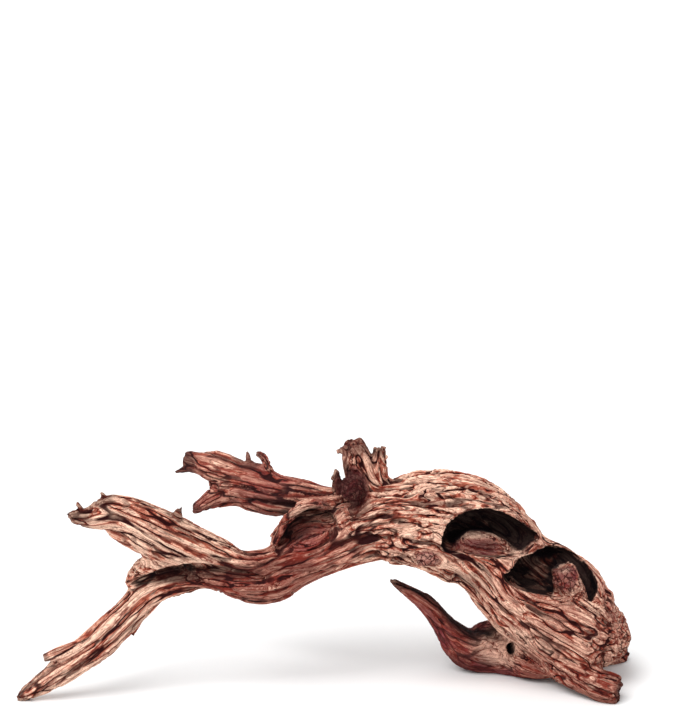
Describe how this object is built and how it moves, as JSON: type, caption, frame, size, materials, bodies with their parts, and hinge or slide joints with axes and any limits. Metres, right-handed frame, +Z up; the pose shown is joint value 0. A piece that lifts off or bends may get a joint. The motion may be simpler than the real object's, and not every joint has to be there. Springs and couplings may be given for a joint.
{
  "type": "aquarium driftwood",
  "caption": "Branching driftwood root that stands as a low arch, with a hollowed trunk, a forked horn, a back branch and torn, weathered ends.",
  "frame": {"origin": "middle of the footprint of the whole piece, on the surface that it stands on", "axes": "+X along the piece, from the thin root to the hollow trunk; +Z up; +Y away from the side that shows the hollows"},
  "size_m": [0.2582, 0.0739, 0.1071],
  "materials": {
    "tan_wood": "matt, weathered, deeply grained",
    "brown_wood": "matt, weathered, deeply grained",
    "dark_wood": "matt, weathered, smoother"
  },
  "bodies": {
    "root": {"main_trunk": "tan_wood", "middle_limb": "brown_wood", "left_root": "brown_wood", "left_horn": "tan_wood", "back_branch": "dark_wood", "back_prong": "dark_wood", "crown_stub": "brown_wood", "spur": "dark_wood", "front_stub": "tan_wood", "rear_stub": "tan_wood"}
  },
  "joints": []
}
